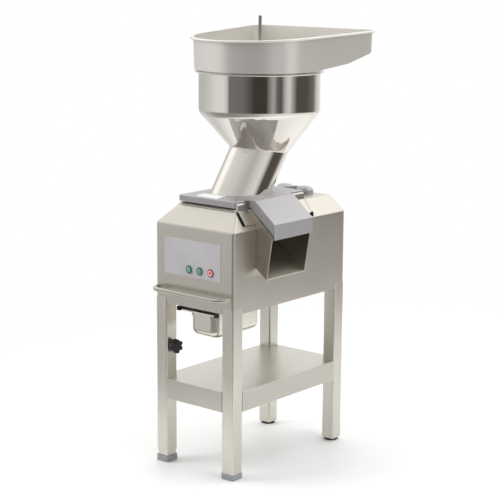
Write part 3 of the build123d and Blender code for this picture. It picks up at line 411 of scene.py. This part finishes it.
finish.update({
    "black": plastic("black_plastic", (26, 26, 28), 0.42),
    "grey": plastic("grey_plastic", (150, 152, 156), 0.55),
    "panel": plastic("panel_film", (206, 203, 206), 0.38, 1400, 0.03),
    "bezel": plastic("bezel_plastic", (176, 178, 182), 0.40),
    "green": plastic("green_plastic", (38, 118, 84), 0.32, 900, 0.03, 0.3),
    "red": plastic("red_plastic", (206, 52, 60), 0.32, 900, 0.03, 0.3),
    "rubber": plastic("black_rubber", (18, 18, 19), 0.68, 700, 0.10),
    "white": plastic("white_print", (240, 240, 242), 0.40, 1400, 0.02),
    "paint": plastic("motor_paint", (96, 104, 110), 0.42, 500, 0.12, 0.2),
    "core": plastic("motor_core", (70, 62, 56), 0.55, 300, 0.20),
    "box_grey": plastic("box_grey", (176, 178, 176), 0.50),
    "sign": plastic("sign_green", (150, 198, 172), 0.40, 1400, 0.02),
    "sign_stop": plastic("sign_white", (244, 222, 222), 0.40, 1400, 0.02),
})
print(len(finish), "finishes")

# %% [markdown]
# Now every piece of the frame gets its finish. A piece keeps its own shape; only the material in
# its slots changes. The list reads like the machine's parts list.

# %% Dress the frame
wears = {
    "leg": ["leg_front_left", "leg_front_right", "leg_rear_left", "leg_rear_right",
            "telescopic_foot_tube"],
    "shelf": ["shelf"],
    "casing": ["casing", "base_plate", "chamber_surround"],
    "surround": ["pan_runners"],
    "chute": ["outlet_chute"],
    "tube": ["feed_tube", "hopper"],
    "tray": ["tray"],
    "handle": ["handle", "agitator_rod", "rod_support"],
    "pan": ["drip_pan", "chamber_bowl"],
    "cast": ["lid", "hinge_lugs", "ejector_disc"],
    "machined": ["hinge_pin", "clamp_boss", "drive_shaft", "spindle_bearings", "motor_bearings",
                 "spindle_pulley", "motor_pulley", "slicing_disc", "slicing_blades",
                 "drive_plate", "drive_plate_posts", "motor_rotor"],
    "iron": ["bearing_housing"],
    "black": ["foot_clamp_knob", "glide_rear_left", "glide_rear_right", "runner_end_caps",
              "contact_blocks", "cable_gland", "motor_fan", "disc_nut"],
    "grey": ["foot_cap_front_left", "foot_cap_front_right"],
    "panel": ["control_panel_plate"],
    "bezel": ["button_bezels"],
    "green": ["button_start_low", "button_start_high"],
    "red": ["button_stop"],
    "rubber": ["bowl_seal", "shaft_seal", "drive_belt"],
    "paint": ["motor_housing", "motor_shield_lower", "motor_shield_upper", "motor_fan_cowl"],
    "core": ["motor_stator"],
    "box_grey": ["control_gear_box"],
}
for key, names in wears.items():
    for name in names:
        for slot in nodes[name].material_slots:
            slot.material = finish[key]
left_out = set(nodes) - {name for names in wears.values() for name in names}
print("pieces without a finish:", sorted(left_out))

# %% [markdown]
# ## Small pieces
# The solids leave out what is thinner than a finger nail. Each of these pieces starts as a
# primitive at its real size, is shaped in edit mode, and then rides on the body that carries it.
# A few helpers keep that short. They add the primitive, select a part of it by its place or the way
# it faces, finish the piece so that its object sits at the origin and its place is in its mesh, as
# the frame's own pieces do, and copy a finished one.

# %% Helpers for shaping and finishing
SMOOTH_BELOW = 35


def start(kind, place, stretch=(1, 1, 1), turn=(0, 0, 0), **values):
    """A primitive at a place in millimetres, stretched and turned, alone selected, in edit mode."""
    bpy.ops.object.select_all(action="DESELECT")
    getattr(bpy.ops.mesh, f"primitive_{kind}_add")(location=at(*place), **values)
    made = bpy.context.object
    made.scale = stretch
    made.rotation_euler = [math.radians(angle) for angle in turn]
    bpy.ops.object.transform_apply(location=True, rotation=True, scale=True)
    bpy.ops.object.mode_set(mode="EDIT")
    bpy.ops.mesh.select_all(action="SELECT")
    return made


def block(size, place, turn=(0, 0, 0)):
    """A box of that size in millimetres, in edit mode."""
    return start("cube", place, [side / 1000 for side in size], turn, size=1)


def select_faces(test):
    """In edit mode, selects the faces whose outward direction passes the test."""
    mesh = bmesh.from_edit_mesh(bpy.context.object.data)
    for face in mesh.faces:
        face.select = test(face.normal)
    bmesh.update_edit_mesh(bpy.context.object.data)


def select_edges(test):
    """In edit mode, selects the edges whose two ends pass the test."""
    bpy.ops.mesh.select_mode(type="EDGE")
    bpy.ops.mesh.select_all(action="DESELECT")
    mesh = bmesh.from_edit_mesh(bpy.context.object.data)
    for edge in mesh.edges:
        edge.select = test(*[end.co for end in edge.verts])
    mesh.select_flush(False)
    bmesh.update_edit_mesh(bpy.context.object.data)


def finished(made, name, look, carrier):
    """Names, dresses and smooths the piece, and lets it ride with the node that carries it."""
    if made.mode == "EDIT":
        bpy.ops.object.mode_set(mode="OBJECT")
    bpy.ops.object.select_all(action="DESELECT")
    made.select_set(True)
    bpy.context.view_layer.objects.active = made
    bpy.ops.object.transform_apply(location=True, rotation=True, scale=True)
    bpy.ops.object.shade_smooth_by_angle(angle=math.radians(SMOOTH_BELOW))
    made.name = name
    made.data.materials.clear()
    made.data.materials.append(finish[look])
    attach(made, body_of(carrier))
    made.select_set(False)
    print(name, len(made.data.polygons), "faces, rides on", body_of(carrier))
    return made


def copy_of(made, shift):
    """A copy with its own mesh, moved by millimetres, still to be finished."""
    bpy.ops.object.select_all(action="DESELECT")
    made.select_set(True)
    bpy.context.view_layer.objects.active = made
    bpy.ops.object.duplicate(linked=False)
    second = bpy.context.object
    second.location = [part / 1000 for part in shift]
    return second


# %% [markdown]
# The lid carries a thin white plate beside the tube's foot. The lid's top falls away towards its
# edge, so the plate is a flat box cut across at the crease, and its front end is then let down
# until it lies on the slope. Its upright corners are rounded first, then all its edges a little.
# It stays bare.

# %% The plate on the lid
PLATE_X = (-52, 34)
PLATE_Y = (66, 106)
CREASE_Y = 93
LID_TOP = 840
LID_EDGE_TOP = 836.5
LID_EDGE_Y = 62
PLATE_THICK = 0.8
TOUCHING = 1e-6
middle = (sum(PLATE_X) / 2, sum(PLATE_Y) / 2, LID_TOP + PLATE_THICK / 2)
plate = block((PLATE_X[1] - PLATE_X[0], PLATE_Y[1] - PLATE_Y[0], PLATE_THICK), middle)
select_edges(lambda a, b: abs(a.x - b.x) < TOUCHING and abs(a.y - b.y) < TOUCHING)
bpy.ops.mesh.bevel(offset=0.003, segments=4, affect="EDGES")
bpy.ops.mesh.select_all(action="SELECT")
bpy.ops.mesh.bisect(plane_co=at(0, CREASE_Y, 0), plane_no=(0, 1, 0))
fall = (LID_TOP - LID_EDGE_TOP) / (CREASE_Y - LID_EDGE_Y)
mesh = bmesh.from_edit_mesh(plate.data)
for corner in mesh.verts:
    corner.co.z -= fall * max(0, at(0, CREASE_Y, 0).y - corner.co.y)
bmesh.update_edit_mesh(plate.data)
bpy.ops.mesh.select_all(action="SELECT")
bpy.ops.mesh.bevel(offset=0.00025, segments=1, affect="EDGES")
finished(plate, "lid_label_plate", "white", "lid")

# %% [markdown]
# The push buttons carry the signs that every such switch has: one bar, two bars and a ring. They
# are printed, so each is a shape a tenth of a millimetre high that rides with its own button.
# Behind the bars lies a pale round field. Field and bar are modelled once and copied. The ring is a
# flat cylinder whose two ends are inset and bridged.

# %% Button signs
BUTTON_Z = 627
BUTTON_FACE = -4.8
SIGN_HIGH = 8
SIGN_WIDE = 2.2
PRINT = 0.24
BAR_APART = 4.6
RING_OUT = 8.0
RING_WIDE = 3.4
MIDDLE_OUT = 7.0
PRINT_ROUND = 0.00009


def middle_x(button):
    """The middle of a button in millimetres from the machine's middle."""
    return 500 * (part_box(button)[0].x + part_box(button)[1].x)


LOW, HIGH, STOP = "button_start_low", "button_start_high", "button_stop"
low_x = middle_x(LOW)
apart = middle_x(HIGH) - low_x
field = start("cylinder", (low_x, BUTTON_FACE, BUTTON_Z), turn=(90, 0, 0), vertices=40,
              radius=MIDDLE_OUT / 1000, depth=PRINT / 1000)
select_edges(lambda a, b: abs(a.y - b.y) < TOUCHING)
bpy.ops.mesh.bevel(offset=PRINT_ROUND, segments=2, affect="EDGES")
finished(field, "button_middle_low", "sign", LOW)
finished(copy_of(field, (apart, 0, 0)), "button_middle_high", "sign", HIGH)
bar = block((SIGN_WIDE, PRINT, SIGN_HIGH), (low_x, BUTTON_FACE - PRINT / 2, BUTTON_Z))
bpy.ops.mesh.bevel(offset=PRINT_ROUND, segments=2, affect="EDGES")
finished(bar, "sign_low", "green", LOW)
for name, side in (("sign_high_1", -1), ("sign_high_2", 1)):
    second = copy_of(bar, (apart + side * BAR_APART / 2, 0, 0))
    finished(second, name, "green", HIGH)
ring = start("cylinder", (middle_x(STOP), BUTTON_FACE, BUTTON_Z), turn=(90, 0, 0), vertices=40,
             radius=RING_OUT / 1000, depth=PRINT / 1000)
select_faces(lambda way: abs(way.y) > 0.9)
bpy.ops.mesh.inset(thickness=RING_WIDE / 1000, use_individual=True)
bpy.ops.mesh.bridge_edge_loops()
finished(ring, "sign_stop", "sign_stop", STOP)

# %% [markdown]
# Thin black strips, in the rubber finish, run along the edges where the folded surround's wings lie
# on the casing's slope. A strip is a box as long as the wing, turned to the slope's angle and
# rounded by a bevel; the rear one is its copy. A small foot, drawn in at its top, ends the rear
# strip.

# %% Black strips beside the wings
RIDGE = (117, 807)
SLOPE_DROP = 52
SLOPE_RUN = 38
WING_FOOT = 768
STRIP_HIGH = 3.6
STRIP_WIDE = 4.4
FRONT_STRIP_Y = 56.0
REAR_STRIP_Y = 377.6
CLEAR = 0.2
FOOT_SIZE = (8, 8, 12)
FOOT_PLACE = (149.5, 379.5, 764)
slope = math.atan2(SLOPE_DROP, SLOPE_RUN)
strip_long = (RIDGE[1] - WING_FOOT) / math.sin(slope)
lift = STRIP_HIGH / 2 + CLEAR
strip_x = RIDGE[0] + math.cos(slope) * strip_long / 2 + math.sin(slope) * lift
strip_z = RIDGE[1] - math.sin(slope) * strip_long / 2 + math.cos(slope) * lift
# A thin black strip along the wing's edge, where a dark line runs between wing and slope.
strip = block((strip_long, STRIP_WIDE, STRIP_HIGH), (strip_x, FRONT_STRIP_Y, strip_z),
              (0, math.degrees(slope), 0))
bpy.ops.mesh.bevel(offset=0.0011, segments=3, affect="EDGES")
finished(strip, "wing_edge_strip_front", "rubber", "chamber_surround")
second = copy_of(strip, (0, REAR_STRIP_Y - FRONT_STRIP_Y, 0))
finished(second, "wing_edge_strip_rear", "rubber", "chamber_surround")
foot = block(FOOT_SIZE, FOOT_PLACE)
select_faces(lambda way: way.z > 0.9)
bpy.ops.mesh.extrude_region_move(TRANSFORM_OT_translate={"value": (-0.001, 0, 0.003)})
bpy.ops.transform.resize(value=(0.6, 0.6, 1))
bpy.ops.mesh.select_all(action="SELECT")
bpy.ops.mesh.bevel(offset=0.001, segments=3, affect="EDGES")
finished(foot, "wing_edge_strip_foot", "rubber", "chamber_surround")

# %% [markdown]
# Tube and hopper are welded along their slanted seam, and the weld is polished until only a fine
# raised line with slow ripples is left. A torus starts it, stretched along the cut's long axis and
# tilted. In edit mode, every other ring of its points is then drawn in a little.

# %% The seam between tube and hopper
SEAM = (0, 301, 959)
SEAM_TILT = 9
LEAN = 35
TUBE_RADIUS = 86
BEAD = 1.2
RIPPLE = 0.3
AROUND = 160
ACROSS = 8
longer = 1 / math.cos(math.radians(LEAN - SEAM_TILT))
seam = start("torus", SEAM, (1, longer, 1), (-SEAM_TILT, 0, 0), major_segments=AROUND,
             minor_segments=ACROSS, major_radius=(TUBE_RADIUS + 0.2) / 1000,
             minor_radius=BEAD / 1000)
mesh = bmesh.from_edit_mesh(seam.data)
mesh.verts.ensure_lookup_table()
for corner in mesh.verts:
    corner.select = corner.index // ACROSS % 2 == 0
bmesh.update_edit_mesh(seam.data)
bpy.ops.transform.shrink_fatten(value=-RIPPLE / 1000)
finished(seam, "tube_weld", "tube", "feed_tube")
